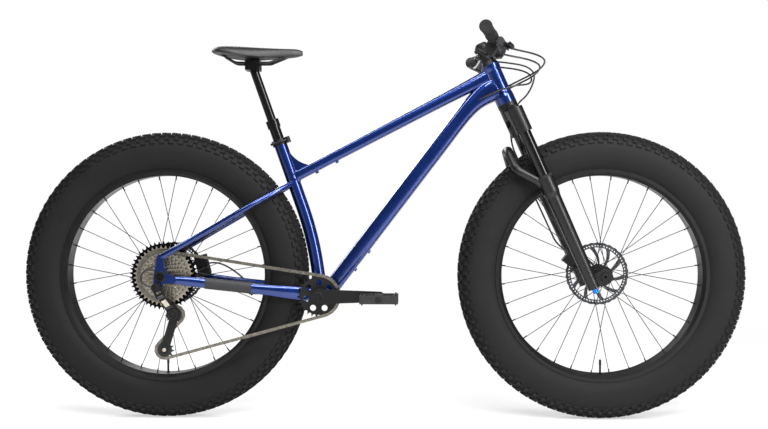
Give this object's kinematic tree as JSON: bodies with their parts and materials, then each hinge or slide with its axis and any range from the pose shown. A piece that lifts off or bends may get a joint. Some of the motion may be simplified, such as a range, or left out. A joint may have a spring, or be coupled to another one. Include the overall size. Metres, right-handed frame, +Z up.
{
  "type": "fat tire bike",
  "caption": "Hardtail fat tire bicycle with wide knobby tyres, suspension fork, dropper post, disc brakes and a single ring chain drive.",
  "frame": {"origin": "on the ground under the middle of the bicycle, halfway between the two axles", "axes": "+X forward, +Y to the rider's left, +Z up; the chain is on the -Y side"},
  "size_m": [2.0318, 0.7854, 1.0627],
  "materials": {
    "tyre_rubber": "matte moulded rubber",
    "black_alloy": "black anodised, satin",
    "black_steel": "black coated steel",
    "bare_steel": "ground stainless steel",
    "chain_steel": "grey plated steel",
    "cog_steel": "nickel plated steel",
    "pedal_plastic": "moulded black plastic",
    "pulley_plastic": "moulded black plastic",
    "frame_paint": "gloss metallic blue paint",
    "fork_paint": "satin black paint",
    "post_gloss": "polished black anodised",
    "saddle_cover": "black synthetic cover",
    "knob_blue": "blue anodised",
    "grip_rubber": "ribbed black rubber",
    "control_plastic": "black glass filled plastic",
    "hose_plastic": "black hose jacket",
    "guard_rubber": "dark grey rubber"
  },
  "bodies": {
    "frame": {"bottom_bracket_shell": "frame_paint", "bearing_cups": "black_alloy", "head_tube": "frame_paint", "seat_tube": "frame_paint", "top_tube": "frame_paint", "down_tube": "frame_paint", "rear_stays": "frame_paint", "dropouts": "frame_paint", "rear_thru_axle": "black_alloy", "derailleur_fixed_knuckle": "black_alloy", "chainstay_guard": "guard_rubber", "rear_caliper": "black_alloy", "rear_housings": "hose_plastic", "control_hoses": "hose_plastic", "chain": "chain_steel", "seat_collar": "black_alloy", "dropper_outer_tube": "black_alloy"},
    "seat_clamp": {"seat_clamp_lever": "black_alloy"},
    "saddle_post": {"dropper_inner_tube": "post_gloss", "saddle_rails": "black_steel", "saddle": "saddle_cover"},
    "steering": {"fork_crown": "fork_paint", "stanchions": "post_gloss", "headset_spacers": "black_alloy", "stem": "black_alloy", "handlebar": "black_alloy", "grips": "grip_rubber", "brake_lever_bodies": "black_alloy", "bar_controls": "control_plastic", "front_brake_hose": "hose_plastic"},
    "fork_slider": {"fork_lowers": "fork_paint", "front_thru_axle": "black_alloy", "front_caliper": "black_alloy"},
    "rebound_dial": {"rebound_knob": "knob_blue"},
    "front_wheel": {"front_tyre": "tyre_rubber", "front_rim": "black_alloy", "front_spokes": "black_steel", "front_hub": "black_alloy", "front_rotor": "bare_steel"},
    "rear_wheel": {"rear_tyre": "tyre_rubber", "rear_rim": "black_alloy", "rear_spokes": "black_steel", "rear_hub": "black_alloy", "rear_rotor": "bare_steel"},
    "crankset": {"right_crank_arm": "black_alloy", "left_crank_arm": "black_alloy", "chainring": "black_alloy"},
    "right_platform": {"right_pedal": "pedal_plastic"},
    "left_platform": {"left_pedal": "pedal_plastic"},
    "sprockets": {"cassette": "cog_steel"},
    "derailleur_arm": {"derailleur_link": "black_alloy"},
    "derailleur_body": {"derailleur_moving_knuckle": "black_alloy"},
    "derailleur_swing": {"derailleur_cage": "black_steel"},
    "guide_wheel": {"guide_pulley": "pulley_plastic"},
    "tension_wheel": {"tension_pulley": "pulley_plastic"},
    "right_brake": {"right_brake_lever": "black_alloy"},
    "left_brake": {"left_brake_lever": "black_alloy"},
    "shift_thumb": {"shift_thumb_lever": "control_plastic"},
    "shift_release": {"shift_release_lever": "control_plastic"},
    "dropper_trigger": {"dropper_lever": "black_alloy"}
  },
  "joints": [
    {"name": "steering_turn", "type": "hinge", "parent": "frame", "child": "steering", "pos_m": [0.5728, 0, 0.3851], "axis": [-0.4067, 0, 0.9135], "range_deg": [-60, 60], "deforming": ["control_hoses"]},
    {"name": "fork_travel", "type": "slide", "parent": "steering", "child": "fork_slider", "axis": [-0.4067, 0, 0.9135], "range_m": [0, 0.1], "stiffness_N_per_m": 6000, "deforming": ["front_brake_hose"]},
    {"name": "rebound_turn", "type": "hinge", "parent": "fork_slider", "child": "rebound_dial", "pos_m": [0.58358, -0.084, 0.37074], "axis": [-0.4067, 0, 0.9135], "range_deg": [-150, 150]},
    {"name": "front_wheel_spin", "type": "hinge", "parent": "fork_slider", "child": "front_wheel", "pos_m": [0.613, 0, 0.403], "axis": [0, 1, 0], "continuous": true},
    {"name": "rear_wheel_spin", "type": "hinge", "parent": "frame", "child": "rear_wheel", "pos_m": [-0.613, 0, 0.403], "axis": [0, 1, 0], "continuous": true},
    {"name": "crank_spin", "type": "hinge", "parent": "frame", "child": "crankset", "pos_m": [-0.17645, 0, 0.348], "axis": [0, 1, 0], "continuous": true, "deforming": ["chain"]},
    {"name": "right_pedal_spin", "type": "hinge", "parent": "crankset", "child": "right_platform", "pos_m": [-0.00645, -0.107, 0.348], "axis": [0, 1, 0], "continuous": true},
    {"name": "left_pedal_spin", "type": "hinge", "parent": "crankset", "child": "left_platform", "pos_m": [-0.34645, 0.107, 0.348], "axis": [0, 1, 0], "continuous": true},
    {"name": "cassette_spin", "type": "hinge", "parent": "frame", "child": "sprockets", "pos_m": [-0.613, 0, 0.403], "axis": [0, 1, 0], "continuous": true, "deforming": ["chain"]},
    {"name": "derailleur_shift", "type": "hinge", "parent": "frame", "child": "derailleur_arm", "pos_m": [-0.60994, -0.1165, 0.3517], "axis": [0.8876, 0, 0.4606], "range_deg": [-32, 2], "stiffness_Nm_per_rad": 2, "deforming": ["chain"]},
    {"name": "knuckle_follow", "type": "hinge", "parent": "derailleur_arm", "child": "derailleur_body", "pos_m": [-0.59105, -0.08028, 0.3153], "axis": [0.8876, 0, 0.4606], "range_deg": [-2, 32], "deforming": ["chain"]},
    {"name": "cage_swing", "type": "hinge", "parent": "derailleur_body", "child": "derailleur_swing", "pos_m": [-0.58, -0.06548, 0.294], "axis": [0, 1, 0], "range_deg": [-20, 16], "stiffness_Nm_per_rad": 2, "deforming": ["chain"]},
    {"name": "guide_spin", "type": "hinge", "parent": "derailleur_swing", "child": "guide_wheel", "pos_m": [-0.58, -0.06548, 0.294], "axis": [0, 1, 0], "continuous": true, "deforming": ["chain"]},
    {"name": "tension_spin", "type": "hinge", "parent": "derailleur_swing", "child": "tension_wheel", "pos_m": [-0.60912, -0.06548, 0.19625], "axis": [0, 1, 0], "continuous": true, "deforming": ["chain"]},
    {"name": "saddle_drop", "type": "slide", "parent": "frame", "child": "saddle_post", "axis": [-0.3338, 0, 0.9426], "range_m": [-0.125, 0], "stiffness_N_per_m": 250, "springref_m": 0.2},
    {"name": "seat_clamp_turn", "type": "hinge", "parent": "frame", "child": "seat_clamp", "pos_m": [-0.26931, -0.0163, 0.78599], "axis": [-0.3338, 0, 0.9426], "range_deg": [0, 110]},
    {"name": "right_brake_pull", "type": "hinge", "parent": "steering", "child": "right_brake", "pos_m": [0.33396, -0.22112, 1.01835], "axis": [-0.5141, 0.0598, -0.8556], "range_deg": [0, 18], "stiffness_Nm_per_rad": 3, "springref_deg": -8.59},
    {"name": "left_brake_pull", "type": "hinge", "parent": "steering", "child": "left_brake", "pos_m": [0.33396, 0.22112, 1.01835], "axis": [0.5141, 0.0598, 0.8556], "range_deg": [0, 18], "stiffness_Nm_per_rad": 3, "springref_deg": -8.59},
    {"name": "shift_thumb_push", "type": "hinge", "parent": "steering", "child": "shift_thumb", "pos_m": [0.28276, -0.20658, 1.00104], "axis": [0.5141, -0.0598, 0.8556], "range_deg": [0, 25], "stiffness_Nm_per_rad": 1, "springref_deg": -8.59},
    {"name": "shift_release_push", "type": "hinge", "parent": "steering", "child": "shift_release", "pos_m": [0.28276, -0.20658, 1.00104], "axis": [0.5141, -0.0598, 0.8556], "range_deg": [0, 12], "stiffness_Nm_per_rad": 1, "springref_deg": -8.59},
    {"name": "dropper_push", "type": "hinge", "parent": "steering", "child": "dropper_trigger", "pos_m": [0.28276, 0.20658, 1.00104], "axis": [-0.5141, -0.0598, -0.8556], "range_deg": [0, 22], "stiffness_Nm_per_rad": 1, "springref_deg": -8.59}
  ],
  "couplings": [
    {"joint": "cassette_spin", "follows": "crank_spin", "ratio": 0.82353},
    {"joint": "guide_spin", "follows": "crank_spin", "ratio": -2.3333},
    {"joint": "tension_spin", "follows": "crank_spin", "ratio": 2.3333},
    {"joint": "knuckle_follow", "follows": "derailleur_shift", "ratio": -1}
  ]
}
